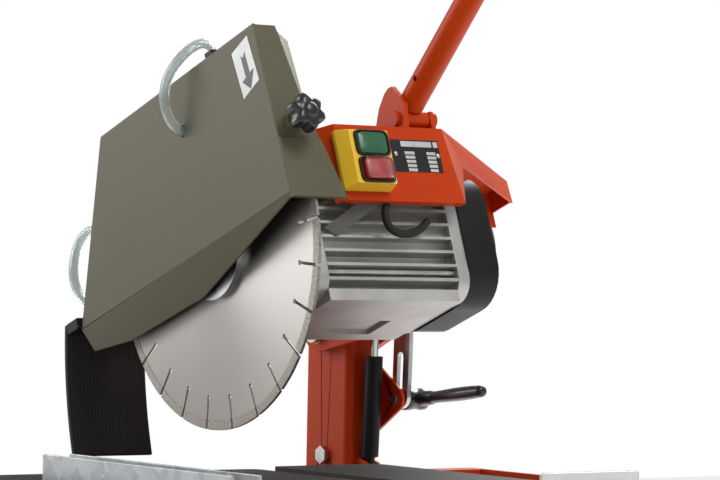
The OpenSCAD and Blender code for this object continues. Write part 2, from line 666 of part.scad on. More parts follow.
module slot_cuts(w) for (i = [0 : segments - 1]) rotate([first_slot + i * 360 / segments, 0, 0]) {
    block([-5, core_r - slot_l + 2, -w / 2], [5, blade_r + 2, w / 2]);
    rod_x(-5, 5, core_r - slot_l + 2, 0, 2.3);
}
module blade_core() color("silver") head_at() difference() {
    rod_x(-core_t / 2, core_t / 2, 0, 0, core_r, $fn = 128);
    rod_x(-5, 5, 0, 0, shaft_r);
    slot_cuts(slot_w);
}
module blade_segments() color("gray") head_at() difference() {
    rod_x(-segment_t / 2, segment_t / 2, 0, 0, blade_r, $fn = 128);
    rod_x(-5, 5, 0, 0, core_r, $fn = 128);
    slot_cuts(slot_w);
}

// ---------- guard ----------
front_top = [-170, guard_top];
front_low = [-178, -6];
rear_top = [122, guard_top];
rear_low = [219, -4];
lip = [[219, -28], [157, -38], [20, -41], [-69, -26], [-176, -9]];
fold_z = -5;
hose_hole = [-23, 116];
lean = atan((front_top[0] - front_low[0]) / (front_top[1] - front_low[1]));
module front_sheet(y0, y1, pts) translate([0, front_top[0], front_top[1]]) rotate([-lean, 0, 0])
    translate([0, -front_top[0], -front_top[1]]) slab_y(y0, y1, pts);
knob_x = -12;
knob_z = 64;
edge_x = 0.2 - guard_out;
crown_z = blade_r + 6;
crown = [[-6, -110, crown_z], [-6, 90, crown_z], [guard_in, 90, crown_z], [guard_in, -110, crown_z]];
down = [0, 0, -sheet];
module guard_shell() color("#56564c") head_at() difference() {
    union() {
        slab_x(-guard_out, -guard_out + sheet, [front_top + [1, 0], front_low + [1, 0], rear_low, rear_top]);
        bent_sheet([for (p = concat([[219, fold_z]], lip, [[-176, fold_z]]))
            [-guard_out + tan(25) * (fold_z - p[1]), p[0], p[1]]], [sheet, 0, 0]);
        bent_sheet([[-guard_out, front_top[0], guard_top], [-guard_out, rear_top[0], guard_top],
            crown[1], crown[0]], down);
        bent_sheet([crown[0], crown[1], crown[2], crown[3]], down);
        bent_sheet([[-guard_out, front_top[0], guard_top], crown[0], crown[3], [guard_in, -150, guard_top - 8],
            [-4, front_top[0], guard_top - 7]], down);
        bent_sheet([[-guard_out, rear_top[0], guard_top], crown[1], crown[2],
            [guard_in, rear_top[0], guard_top]], down);
        bent_sheet([[-guard_out, rear_top[0], rear_top[1]], [guard_in, rear_top[0], rear_top[1]],
            [guard_in, rear_low[0], rear_low[1]], [-guard_out, rear_low[0], rear_low[1]]], [0, -2 * sheet, 0]);
        front_sheet(front_top[0], front_top[0] + sheet,
            [[edge_x, guard_top - 1], [-5, guard_top - 1], [-3.5, guard_top - 8], [7, 89], [17, 49], [33, -12],
                [edge_x, -12]]);
        bent_sheet([[-4, -171, 160], [8, -173, 88], [guard_in - 2, -160, 88], [guard_in - 2, -152, 160]],
            [-1, 1, 0]);
        front_sheet(front_top[0] - 8, front_top[0],
            [for (a = [0 : 30 : 330]) [knob_x + 9 * cos(a), knob_z + 9 * sin(a)]]);
    }
    rod_x(-guard_out - 1, -guard_out + 3, hose_hole[0], hose_hole[1], hose_d / 2 + 1);
    translate([knob_x, -160, knob_z]) rotate([90, 0, 0]) cylinder(h = 40, r = 4 + bolt_gap);
}
module guard_plate() color("#4c4c44") head_at() {
    difference() {
        union() {
            slab_x(guard_in - sheet, guard_in, [[-149, guard_top - 12], [-158, 88], [-168, 30], [-172, -8],
                [rear_low[0] - 10, -8], [rear_low[0] - 9, 2], [rear_top[0] - 6, guard_top - 5],
                [88, crown_z - sheet], [-108, crown_z - sheet]]);
            rod_x(guard_in - sheet, guard_in, 0, 0, spigot_r + 12);
        }
        rod_x(0, 40, 0, 0, spigot_r + run);
    }
    front_sheet(front_top[0] - sheet, front_top[0],
        [[-guard_out, 49], [17, 49], [33, -12], [-guard_out, -12]]);
}
module guard_retainer() color("silver") head_at() {
    difference() {
        rod_x(spigot_x - 3, spigot_x, 0, 0, spigot_r + 7);
        rod_x(0, 30, 0, 0, bearing_r + 4);
    }
    slab_x(spigot_x - 6, spigot_x - 3, [[-171, 50], [-171, 62], [-166, 75], [-38, 52], [-38, 26]]);
    block([-26, -171, 50], [spigot_x - 5.7, -168, 75]);
}
module guard_knob() color("black") head_at() translate([knob_x, 0, knob_z]) rotate([90, 0, 0]) {
    translate([0, 0, 174.5]) cylinder(h = 22, r = 4);
    translate([0, 0, 192]) linear_extrude(18) union() {
        circle(14);
        for (a = [0 : 60 : 300]) rotate(a) translate([12.5, 0]) circle(6.5, $fn = 24);
    }
    translate([0, 0, 210]) cylinder(h = 4, r = 7);
}
module water_hose() color([0.9, 0.93, 0.92, 0.6]) head_at() {
    sweep(hose_route, hose_d / 2);
    sweep(loop_route, hose_d / 2);
}
module hose_fittings() color("black") head_at() {
    block([-18, 170, 84], [-2, 180, 98]);
    block([-8, 209, 14], [8, 214, 28]);
    rod_x(-guard_out + sheet, -16, hose_hole[0], hose_hole[1], hose_d / 2 + 3);
    block([-8, -64, crown_z], [4, -52, crown_z + 6]);
}
flap_r = 450;
flap_t = 5;
flap_turn = 17;
flap_left = -34;
flap_w = 94;
flap_y = 225;
flap_z = -80;
module splash_flap() color("#1b1b1c") saw_at() {
    slab_x(flap_left, flap_left + flap_w, concat(
        [for (a = [0 : flap_turn]) [flap_y - flap_r, flap_z] + (flap_r + flap_t) * [cos(a), -sin(a)]],
        [for (a = [flap_turn : -1 : 0]) [flap_y - flap_r, flap_z] + flap_r * [cos(a), -sin(a)]]));
    rotate([-pitch, 0, 0])
        block([flap_left, rear_low[0] + gap, -3], [flap_left + flap_w, rear_low[0] + 22, 8]);
}

// ---------- strut rod, bar and lever ----------
module strut_rod() color("silver") strut_at() {
    translate([0, 0, 66]) cylinder(h = strut_l - strut_eye_r - 65.5, r = rod_d / 2);
    translate([0, 0, 62]) cylinder(h = 8, r = strut_d / 2 - 1.8 - run);
    difference() {
        rod_x(-5, 5, 0, strut_l, strut_eye_r);
        rod_x(-6, 6, 0, strut_l, 8);
    }
}
slot_shift = 1.3;
bar_head_r = 10.5;
module slotted_bar() color("silver") saw_at()
    translate([bar_x, bar_pin[0], bar_pin[1]]) rotate([bar_lean, 0, 0])
    rotate([90, 0, 90]) linear_extrude(bar_t) difference() {
        union() {
            polygon([[-bar_head_r, 0], [-14, -30], [-14, -91], [14, -91], [14, -30], [bar_head_r, 0]]);
            circle(bar_head_r);
            translate([0, -91]) circle(14);
        }
        circle(5 + run);
        hull() {
            translate([slot_shift, -50]) circle(5, $fn = 32);
            translate([slot_shift, -97]) circle(5, $fn = 32);
        }
    }
module lock_lever() color("black") saw_at() {
    difference() {
        rod_x(lever_x, lever_x + 28, lock_pos[0], lock_pos[1], 11);
        rod_x(lever_x - 1, lever_x + 29, lock_pos[0], lock_pos[1], lock_r + run);
    }
    translate([right_cheek + cheek_t + 10, lock_pos[0] - 9, lock_pos[1] + 1]) rotate([83, 0, 0])
        cylinder(h = 108, r1 = 8, r2 = 5.5);
}

base_frame();
water_tank();
front_legs();
rear_legs();
leg_bolts();
rubber_feet();
column();
column_cap();
column_plate();
column_bolts();
pivot_axle();
lock_bracket();
lock_bolt();
strut_body();
strut_pin();
water_pump();
drain_plug();
cart_frame();
left_deck();
right_deck();
cart_stop();
fence();
front_rollers();
rear_rollers();
roller_studs();
swing_arm();
pivot_bushes();
motor_body();
stator();
drive_end_bracket();
rear_bracket();
fan_cover();
bearings();
tie_bolts();
head_cover();
cover_brackets();
switch_housing();
start_button();
stop_button();
rating_plate();
switch_cable();
handle_mount();
handle_tube();
handle_grip();
rotor();
inner_flange();
outer_flange();
arbor_nut();
blade_core();
blade_segments();
guard_shell();
guard_plate();
guard_retainer();
guard_knob();
water_hose();
hose_fittings();
splash_flap();
strut_rod();
slotted_bar();
lock_lever();
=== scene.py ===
import bpy
import bmesh
import numpy as np
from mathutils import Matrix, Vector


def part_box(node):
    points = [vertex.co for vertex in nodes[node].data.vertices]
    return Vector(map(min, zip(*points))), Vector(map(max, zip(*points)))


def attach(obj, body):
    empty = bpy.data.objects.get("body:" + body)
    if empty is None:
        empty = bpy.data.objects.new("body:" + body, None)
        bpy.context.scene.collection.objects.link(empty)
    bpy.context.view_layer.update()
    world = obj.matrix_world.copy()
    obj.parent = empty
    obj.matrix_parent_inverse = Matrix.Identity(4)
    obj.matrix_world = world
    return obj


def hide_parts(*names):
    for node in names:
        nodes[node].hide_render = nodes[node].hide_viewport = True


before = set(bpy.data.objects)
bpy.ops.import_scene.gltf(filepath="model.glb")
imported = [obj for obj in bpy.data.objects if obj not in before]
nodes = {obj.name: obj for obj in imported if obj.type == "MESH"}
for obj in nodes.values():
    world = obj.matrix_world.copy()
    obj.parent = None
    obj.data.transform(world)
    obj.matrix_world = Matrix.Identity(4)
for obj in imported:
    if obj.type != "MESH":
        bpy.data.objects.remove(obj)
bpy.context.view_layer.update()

# ---- camera ------------------------------------------------------------------
# A long lens a good three metres off, level with the blade's axis and turned to the
# saw's front left, so that the guard's outer sheet and the switch both show.
blade_low, blade_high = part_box("blade_core")
blade_centre = (np.array(blade_low) + np.array(blade_high)) / 2
yaw, tilt, roll = np.radians([35.63, 0.12, 1.16])
ahead = np.array([np.sin(yaw) * np.cos(tilt), np.cos(yaw) * np.cos(tilt), np.sin(tilt)])
side = np.array([np.cos(yaw), -np.sin(yaw), 0.0])
above = np.cross(side, ahead)
right = np.cos(roll) * side + np.sin(roll) * above
up = np.cos(roll) * above - np.sin(roll) * side
eye = blade_centre + np.array([-1.9036, -2.895, 0.0066])
view = bpy.data.cameras.new("view")
view.lens = 176.9
view.sensor_width = 36.0
view.clip_end = 50.0
camera = bpy.data.objects.new("camera", view)
turn = np.eye(4)
turn[:3, 0], turn[:3, 1], turn[:3, 2], turn[:3, 3] = right, up, -ahead, eye
camera.matrix_world = turn.T.tolist()
bpy.context.scene.collection.objects.link(camera)
bpy.context.scene.camera = camera


# ---- room --------------------------------------------------------------------
# A pale floor that glows a little, under four soft square lamps: a key lamp above the
# front, a weak one at the left, and one behind on either side for the edges. The
# surround is white where the camera sees it and lights the saw at under half of that.
def linear(code):
    """An sRGB hex value as linear red, green, blue and alpha."""
    rgb = np.array([int(code[i:i + 2], 16) for i in (0, 2, 4)]) / 255
    return (*np.where(rgb <= 0.04045, rgb / 12.92, ((rgb + 0.055) / 1.055) ** 2.4), 1.0)


def add(material, kind, settings=None, **links):
    """Adds one node, sets its properties and sockets, and links sockets to other nodes' outputs."""
    node = material.node_tree.nodes.new(kind)
    for key, value in (settings or {}).items():
        if isinstance(key, int) or key in node.inputs:
            node.inputs[key].default_value = value
        else:
            setattr(node, key, value)
    for key, output in links.items():
        numbered = key[0] == "i" and key[1:].isdigit()
        socket = node.inputs[int(key[1:])] if numbered else node.inputs[key.replace("_", " ")]
        material.node_tree.links.new(output, socket)
    return node


def finish_of(name, **sockets):
    """A new material with its Principled shader's sockets set, and that shader."""
    material = bpy.data.materials.new(name)
    material.use_nodes = True
    shader = material.node_tree.nodes["Principled BSDF"]
    for key, value in sockets.items():
        shader.inputs[key.replace("_", " ")].default_value = value
    return material, shader


def mottle(material, shader, low, high, scale, bump, depth, rough=(0.4, 0.5)):
    """Two near shades mixed by noise of a real size, with matching gloss and a fine bump."""
    place = add(material, "ShaderNodeTexCoord")
    noise = add(material, "ShaderNodeTexNoise", {"Scale": scale, "Detail": 4.0},
                Vector=place.outputs["Object"])
    shade = add(material, "ShaderNodeValToRGB", {}, Fac=noise.outputs["Fac"])
    shade.color_ramp.elements[0].color = linear(low)
    shade.color_ramp.elements[0].position = 0.35
    shade.color_ramp.elements[1].color = linear(high)
    shade.color_ramp.elements[1].position = 0.65
    gloss = add(material, "ShaderNodeMapRange", {3: rough[0], 4: rough[1]}, Value=noise.outputs["Fac"])
    grain = add(material, "ShaderNodeTexNoise", {"Scale": bump, "Detail": 3.0},
                Vector=place.outputs["Object"])
    relief = add(material, "ShaderNodeBump", {"Strength": 0.6, "Distance": depth},
                 Height=grain.outputs["Fac"])
    material.node_tree.links.new(shade.outputs["Color"], shader.inputs["Base Color"])
    material.node_tree.links.new(gloss.outputs[0], shader.inputs["Roughness"])
    material.node_tree.links.new(relief.outputs["Normal"], shader.inputs["Normal"])


def grid(name, points, around=False, along=False, caps=False):
    """A quad mesh on an array of points of two parameters, closed round either one, with flat end caps."""
    m, n = points.shape[:2]
    i, j = np.meshgrid(np.arange(m if along else m - 1), np.arange(n if around else n - 1), indexing="ij")
    i2, j2 = (i + 1) % m, (j + 1) % n
    quads = np.stack([i * n + j, i * n + j2, i2 * n + j2, i2 * n + j], -1).reshape(-1, 4).tolist()
    if caps:
        quads += [list(range(n))[::-1], [(m - 1) * n + k for k in range(n)]]
    mesh = bpy.data.meshes.new(name)
    mesh.from_pydata(points.reshape(-1, 3).tolist(), [], quads)
    work = bmesh.new()
    work.from_mesh(mesh)
    bmesh.ops.remove_doubles(work, verts=work.verts, dist=1e-6)
    bmesh.ops.recalc_face_normals(work, faces=work.faces)
    work.to_mesh(mesh)
    work.free()
    mesh.polygons.foreach_set("use_smooth", [True] * len(mesh.polygons))
    piece = bpy.data.objects.new(name, mesh)
    bpy.context.scene.collection.objects.link(piece)
    return piece


floor_finish, floor_shader = finish_of("matt_studio_floor", Roughness=0.9)
mottle(floor_finish, floor_shader, "f4f4f3", "fafaf9", 3.0, 40.0, 0.0001, (0.85, 0.95))
floor_shader.inputs["Emission Color"].default_value = (1, 1, 1, 1)
floor_shader.inputs["Emission Strength"].default_value = 0.45
# Half the floor's side, in metres.
reach = 9.0
sweep_u = np.linspace(-1, 1, 9)
ground_x, ground_y = np.broadcast_arrays(reach * sweep_u[:, None], reach * sweep_u[None, :])
ground = np.stack([ground_x, ground_y, 0 * ground_x], -1)
floor = grid("studio_floor", ground)
floor.data.materials.append(floor_finish)

world = bpy.data.worlds.new("surround")
world.use_nodes = True
surround = world.node_tree.nodes["Background"]
surround.inputs["Color"].default_value = (1, 1, 1, 1)
seen = world.node_tree.nodes.new("ShaderNodeLightPath")
level = world.node_tree.nodes.new("ShaderNodeMapRange")
level.inputs[3].default_value = 0.42
level.inputs[4].default_value = 1.0
world.node_tree.links.new(seen.outputs["Is Camera Ray"], level.inputs["Value"])
world.node_tree.links.new(level.outputs[0], surround.inputs["Strength"])
bpy.context.scene.world = world
bpy.context.scene.view_settings.view_transform = "Standard"


def lamp(name, place, aim, size, power):
    """A square area lamp that shines from a place to a point, given from the blade's centre."""
    light = bpy.data.lights.new(name, "AREA")
    light.size = size
    light.energy = power
    holder = bpy.data.objects.new(name, light)
    start = blade_centre + np.array(place)
    back = start - (blade_centre + np.array(aim))
    back = back / np.linalg.norm(back)
    across = np.cross([0, 0, 1], back)
    across = across / np.linalg.norm(across)
    spin = np.eye(4)
    spin[:3, 0], spin[:3, 1], spin[:3, 2], spin[:3, 3] = across, np.cross(back, across), back, start
    holder.matrix_world = spin.T.tolist()
    bpy.context.scene.collection.objects.link(holder)


lamp("key_lamp", (0.3, -2.2, 2.8), (0.1, 0, 0), 1.5, 60)
lamp("left_lamp", (-3.0, -0.6, 1.6), (0, 0, 0), 1.4, 8)
lamp("rear_left_lamp", (-1.7, 2.6, 1.0), (0, 0, 0.1), 1.7, 38)
lamp("rim_lamp", (2.4, 1.6, 1.6), (0, 0, 0), 1.4, 60)


# ---- edges of the steel and plastic parts --------------------------------------
# Every pressed, sawn or moulded part has a small broken edge that catches the light,
# and its turned faces are smooth, so each part gets both.
def broken_edges():
    """A modifier group that shades smooth all but the edges turned by more than 32 degrees."""
    group = bpy.data.node_groups.new("smooth_turned_faces", "GeometryNodeTree")
    group.interface.new_socket("Geometry", in_out="INPUT", socket_type="NodeSocketGeometry")
    group.interface.new_socket("Geometry", in_out="OUTPUT", socket_type="NodeSocketGeometry")
    entry = group.nodes.new("NodeGroupInput")
    leave = group.nodes.new("NodeGroupOutput")
    faces = group.nodes.new("GeometryNodeSetShadeSmooth")
    edges = group.nodes.new("GeometryNodeSetShadeSmooth")
    edges.domain = "EDGE"
    angle = group.nodes.new("GeometryNodeInputMeshEdgeAngle")
    over = group.nodes.new("FunctionNodeCompare")
    over.operation = "LESS_THAN"
    over.inputs[1].default_value = np.radians(32)
    group.links.new(entry.outputs[0], faces.inputs[0])
    group.links.new(faces.outputs[0], edges.inputs[0])
    group.links.new(angle.outputs["Unsigned Angle"], over.inputs[0])
    group.links.new(over.outputs[0], edges.inputs["Shade Smooth"])
    group.links.new(edges.outputs[0], leave.inputs[0])
    return group


smooth_group = broken_edges()


def dress(names, material, edge=0.0006):
    """Gives CAD nodes their finish, a fine broken edge and smooth turned faces."""
    for name in names.split():
        part = nodes[name]
        part.data.materials.clear()
        part.data.materials.append(material)
        part.modifiers.new("joined", "WELD").merge_threshold = 1e-6
        if edge:
            bevel = part.modifiers.new("broken_edge", "BEVEL")
            bevel.width = edge
            bevel.segments = 2
            bevel.limit_method = "ANGLE"
            bevel.angle_limit = np.radians(35)
        part.modifiers.new("turned", "NODES").node_group = smooth_group
        even = part.modifiers.new("even_faces", "WEIGHTED_NORMAL")
        even.keep_sharp = True


# ---- orange powder-coated steel ------------------------------------------------
# Stand, column, arm, cover and handle are welded mild steel, shot blasted and powder
# coated orange-red: satin, with a faint orange-peel texture about 1.5 mm across.
orange, orange_shader = finish_of("orange_powder_coat", IOR=1.45, Specular_IOR_Level=0.22)
mottle(orange, orange_shader, "c23c08", "cc430b", 6.0, 650.0, 0.00006, (0.36, 0.46))
dress("base_frame front_legs rear_legs column column_plate lock_bracket strut_pin cart_frame", orange, 0.001)
dress("swing_arm head_cover handle_mount handle_tube", orange)

# ---- olive-grey textured paint ---------------------------------------------------
# The blade guard is folded 2 mm sheet with a matt, finely textured olive-grey coat.
olive, olive_shader = finish_of("olive_textured_coat", IOR=1.4)
mottle(olive, olive_shader, "57543f", "5d5a46", 5.0, 900.0, 0.00008, (0.42, 0.54))
dress("guard_shell guard_plate", olive, 0.0007)

# ---- zinc-plated steel -----------------------------------------------------------
# Bolts, axles, flanges and small brackets are zinc plated: bright, slightly streaked.
zinc, zinc_shader = finish_of("zinc_plate", Metallic=1.0)
mottle(zinc, zinc_shader, "b9babb", "d2d3d4", 60.0, 500.0, 0.00003, (0.28, 0.42))
dress("leg_bolts column_bolts pivot_axle lock_bolt roller_studs tie_bolts cover_brackets", zinc, 0.0004)
dress("inner_flange outer_flange arbor_nut guard_retainer slotted_bar bearings rotor", zinc, 0.0004)

# ---- galvanised sheet ------------------------------------------------------------
# Tank and fence are hot-dip galvanised, which leaves a flaky grey spangle of 5-15 mm.
galvanised, galvanised_shader = finish_of("galvanised_spangle", Metallic=0.85)
place = add(galvanised, "ShaderNodeTexCoord")
flake = add(galvanised, "ShaderNodeTexVoronoi", {"Scale": 90.0}, Vector=place.outputs["Object"])
flake_tone = add(galvanised, "ShaderNodeValToRGB", {}, Fac=flake.outputs["Color"])
flake_tone.color_ramp.elements[0].color = linear("a3a7aa")
flake_tone.color_ramp.elements[1].color = linear("c9ccce")
flake_gloss = add(galvanised, "ShaderNodeMapRange", {3: 0.32, 4: 0.5}, Value=flake.outputs["Distance"])
galvanised.node_tree.links.new(flake_tone.outputs["Color"], galvanised_shader.inputs["Base Color"])
galvanised.node_tree.links.new(flake_gloss.outputs[0], galvanised_shader.inputs["Roughness"])
dress("water_tank fence", galvanised, 0.0006)

# ---- cast aluminium --------------------------------------------------------------
# The motor frame and end brackets are sand-blasted die-cast aluminium, finely grained.
cast, cast_shader = finish_of("blasted_cast_aluminium", Metallic=0.75)
mottle(cast, cast_shader, "b4b4b0", "c6c6c2", 25.0, 700.0, 0.00012, (0.42, 0.56))
dress("motor_body drive_end_bracket rear_bracket", cast, 0.0006)

# ---- copper winding --------------------------------------------------------------
# The stator is a laminated pack with enamelled copper wire: reddish, slightly glossy.
winding, winding_shader = finish_of("enamelled_copper", Metallic=0.8)
mottle(winding, winding_shader, "8a4a22", "a35b2c", 120.0, 400.0, 0.0002, (0.35, 0.5))
dress("stator", winding)

# ---- bronze bushes ---------------------------------------------------------------
# Oil-filled sintered bronze, dull gold with fine pores.
bronze, bronze_shader = finish_of("sintered_bronze", Metallic=1.0)
mottle(bronze, bronze_shader, "a07a3c", "b48d4a", 80.0, 900.0, 0.00005, (0.35, 0.5))
dress("pivot_bushes", bronze, 0.0003)

# ---- black plastic and rubber ----------------------------------------------------
# Fan cover, pump, plugs and rollers are moulded black nylon with a fine leathery grain;
# feet, cable and deck faces are matt rubber.
nylon, nylon_shader = finish_of("moulded_black_nylon", IOR=1.45, Specular_IOR_Level=0.25)
mottle(nylon, nylon_shader, "18181a", "1f1f21", 30.0, 1200.0, 0.00005, (0.38, 0.5))
dress("fan_cover water_pump drain_plug column_cap front_rollers rear_rollers hose_fittings", nylon)
dress("strut_body", nylon, 0.0004)
rubber, rubber_shader = finish_of("matt_black_rubber", IOR=1.5)
mottle(rubber, rubber_shader, "171616", "1f1e1d", 40.0, 1500.0, 0.0001, (0.65, 0.8))
dress("rubber_feet switch_cable", rubber)
mat_rubber, mat_shader = finish_of("deck_rubber_mat", IOR=1.5)
mottle(mat_rubber, mat_shader, "1e1c1b", "2a2725", 220.0, 1100.0, 0.0003, (0.6, 0.8))
dress("left_deck right_deck", mat_rubber)

# ---- cart stop -------------------------------------------------------------------
# A pale glossy plastic plate that stands across the front of the cart.
gloss_white, white_shader = finish_of("gloss_white_plastic", IOR=1.5)
mottle(gloss_white, white_shader, "d9dad8", "e2e3e1", 20.0, 300.0, 0.00002, (0.15, 0.22))
dress("cart_stop", gloss_white, 0.003)

# ---- blade -----------------------------------------------------------------------
# Tensioned steel core, surface ground in circles, so fine rings run round its axis and
# the light spreads in a soft fan; the diamond segments are sintered and granular.
ground_steel, ground_shader = finish_of("ring_ground_steel", Metallic=1.0, Anisotropic=0.55)
place = add(ground_steel, "ShaderNodeTexCoord")
centred = add(ground_steel, "ShaderNodeVectorMath", {"operation": "SUBTRACT", 1: tuple(blade_centre)},
              i0=place.outputs["Object"])
flat = add(ground_steel, "ShaderNodeVectorMath", {"operation": "MULTIPLY", 1: (0, 1, 1)},
           i0=centred.outputs[0])
radius = add(ground_steel, "ShaderNodeVectorMath", {"operation": "LENGTH"}, i0=flat.outputs[0])
ring_place = add(ground_steel, "ShaderNodeCombineXYZ", {}, X=radius.outputs["Value"])
rings = add(ground_steel, "ShaderNodeTexNoise", {"Scale": 900.0, "Detail": 2.0}, Vector=ring_place.outputs[0])
cloud = add(ground_steel, "ShaderNodeTexNoise", {"Scale": 14.0, "Detail": 4.0},
            Vector=place.outputs["Object"])
ring_tone = add(ground_steel, "ShaderNodeValToRGB", {}, Fac=rings.outputs["Fac"])
ring_tone.color_ramp.elements[0].color = linear("a5a29e")
ring_tone.color_ramp.elements[1].color = linear("c8c5c1")
ring_gloss = add(ground_steel, "ShaderNodeMapRange", {3: 0.3, 4: 0.46}, Value=cloud.outputs["Fac"])
ring_relief = add(ground_steel, "ShaderNodeBump", {"Strength": 0.35, "Distance": 0.00004},
                  Height=rings.outputs["Fac"])
round_way = add(ground_steel, "ShaderNodeVectorMath", {"operation": "CROSS_PRODUCT", 1: (1, 0, 0)},
                i0=flat.outputs[0])
ground_steel.node_tree.links.new(ring_tone.outputs["Color"], ground_shader.inputs["Base Color"])
ground_steel.node_tree.links.new(ring_gloss.outputs[0], ground_shader.inputs["Roughness"])
ground_steel.node_tree.links.new(ring_relief.outputs["Normal"], ground_shader.inputs["Normal"])
ground_steel.node_tree.links.new(round_way.outputs[0], ground_shader.inputs["Tangent"])
dress("blade_core", ground_steel, 0.0003)
sintered, sintered_shader = finish_of("sintered_diamond_bond", Metallic=0.9)
mottle(sintered, sintered_shader, "8f8a83", "b5b0a8", 400.0, 1500.0, 0.0002, (0.45, 0.65))
dress("blade_segments", sintered, 0.0003)

# ---- gas strut rod ---------------------------------------------------------------
# Hard-chromed and polished.
chrome, chrome_shader = finish_of("hard_chrome", Metallic=1.0)
mottle(chrome, chrome_shader, "d4d5d6", "dcdddd", 10.0, 200.0, 0.00001, (0.06, 0.12))
dress("strut_rod", chrome, 0.0004)

# ---- switch housing ----------------------------------------------------------------
# A yellow ABS box with chamfered edges, screwed to the cover's front.
yellow, yellow_shader = finish_of("yellow_abs", IOR=1.53, Coat_Weight=0.1)
mottle(yellow, yellow_shader, "f6c52c", "facb34", 15.0, 800.0, 0.00004, (0.3, 0.38))
dress("switch_housing", yellow, 0.0012)

# The head rests tilted by this angle, with its front end raised.
PITCH = np.radians(21)


def from_head(points):
    """Millimetres along the tilted head's own axes from the blade's centre, as metres in the frame."""
    points = np.asarray(points, float)
    x, y, z = points[..., 0], points[..., 1], points[..., 2]
    tilted = np.stack([x, y * np.cos(PITCH) + z * np.sin(PITCH), z * np.cos(PITCH) - y * np.sin(PITCH)], -1)
    return blade_centre + tilted / 1000


def cushion(x0, x1, z0, z1, y0, y1, corner, crown):
    """A pillow on a rounded rectangle: rings shrink to the middle while the face rises by a parabola."""
    turn_angle = np.linspace(0, 2 * np.pi, 48, endpoint=False)
    power = np.abs(np.cos(turn_angle)) ** (2 / corner), np.abs(np.sin(turn_angle)) ** (2 / corner)
    ring_x, ring_z = np.sign(np.cos(turn_angle)) * power[0], np.sign(np.sin(turn_angle)) * power[1]
    steps = np.array([[0, 1.0], [0.8, 1.0], [0.92, 0.985], [0.98, 0.95],
                      [1.0, 0.9], [1.0, 0.6], [1.0, 0.3], [1.0, 0.0]])
    rise = np.where(steps[:, 0] < 1, 0, crown * (1 - steps[:, 1] ** 2))
    y = y0 + (y1 - y0) * steps[:, 0] - rise
    x = (x0 + x1) / 2 + (x1 - x0) / 2 * steps[:, 1][:, None] * ring_x
    z = (z0 + z1) / 2 + (z1 - z0) / 2 * steps[:, 1][:, None] * ring_z
    return from_head(np.stack([x, np.broadcast_to(y[:, None], x.shape), z], -1))


# ---- switch buttons ----------------------------------------------------------------
# Green start and red stop caps are crowned PBT; a dark rubber bezel rings each, and the
# red one sits under a clear wedge-shaped flap.
green, green_shader = finish_of("green_pbt", IOR=1.55, Coat_Weight=0.2)
mottle(green, green_shader, "1d5c3a", "236744", 20.0, 900.0, 0.00003, (0.28, 0.38))
red, red_shader = finish_of("red_pbt", IOR=1.55, Coat_Weight=0.2)
mottle(red, red_shader, "a51f1d", "b52a26", 20.0, 900.0, 0.00003, (0.25, 0.35))
start_cap = grid("start_cap", cushion(109.5, 144.5, 62.5, 85.5, -104, -114.5, 6, 1.6), around=True)
start_cap.data.materials.append(green)
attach(start_cap, "start_button")
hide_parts("start_button")
stop_cap = grid("stop_cap", cushion(111, 144, 36, 57, -104, -117, 6, 2.0), around=True)
stop_cap.data.materials.append(red)
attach(stop_cap, "stop_button")
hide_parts("stop_button")
for label, low_z, high_z in (("start", 60.5, 87.5), ("stop", 32.5, 59.5)):
    mid_x, mid_z = 127, (low_z + high_z) / 2
    angle = np.linspace(0, 2 * np.pi, 48, endpoint=False)
    shape_x = np.sign(np.cos(angle)) * np.abs(np.cos(angle)) ** 0.33
    shape_z = np.sign(np.sin(angle)) * np.abs(np.sin(angle)) ** 0.33
    lip = np.array([[18.2, 11.8, -112.2], [18.4, 12, -114.2], [19.4, 12.9, -114.6],
                    [20.4, 13.5, -113.8], [20.8, 13.6, -112.2]])
    depth = np.broadcast_to(lip[:, 2][:, None], (len(lip), len(angle)))
    rim = np.stack([mid_x + lip[:, 0][:, None] * shape_x, depth,
                    mid_z + lip[:, 1][:, None] * shape_z], -1)
    bezel = grid(label + "_bezel", from_head(rim), around=True, along=True)
    bezel.data.materials.append(rubber)
    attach(bezel, "head")

# ---- rating plate ------------------------------------------------------------------
# A printed aluminium foil on the cover's front, black with blank pale fields, held by
# two domed rivets. The fields carry no words.
foil, foil_shader = finish_of("printed_black_foil", IOR=1.5)
mottle(foil, foil_shader, "151516", "1b1b1c", 60.0, 600.0, 0.00001, (0.3, 0.38))
blank, blank_shader = finish_of("printed_pale_field", IOR=1.5)
mottle(blank, blank_shader, "bfc0be", "cdcecb", 60.0, 600.0, 0.00001, (0.3, 0.38))
rivet, rivet_shader = finish_of("domed_aluminium_rivet", Metallic=1.0)
mottle(rivet, rivet_shader, "c4c5c6", "d6d7d8", 60.0, 500.0, 0.00003, (0.25, 0.35))
dress("rating_plate", foil, 0.0002)


plate_y = -95.8
field_thick = 0.25


def label_field(name, x0, x1, z0, z1):
    """A thin flat field on the plate: rings of a rounded rectangle, pushed out by its thickness."""
    angle = np.linspace(0, 2 * np.pi, 40, endpoint=False)
    round_x = np.sign(np.cos(angle)) * np.abs(np.cos(angle)) ** 0.12
    round_z = np.sign(np.sin(angle)) * np.abs(np.sin(angle)) ** 0.12
    steps = np.array([[0.0, 0.0], [1.0, 0.0], [1.0, 0.8], [0.985, 1.0], [0.0, 1.0]])
    x = (x0 + x1) / 2 + (x1 - x0) / 2 * steps[:, 0][:, None] * round_x
    z = (z0 + z1) / 2 + (z1 - z0) / 2 * steps[:, 0][:, None] * round_z
    depth = np.broadcast_to((plate_y - field_thick * steps[:, 1])[:, None], x.shape)
    piece = grid(name, from_head(np.stack([x, depth, z], -1)), around=True)
    piece.data.materials.append(blank)
    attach(piece, "head")


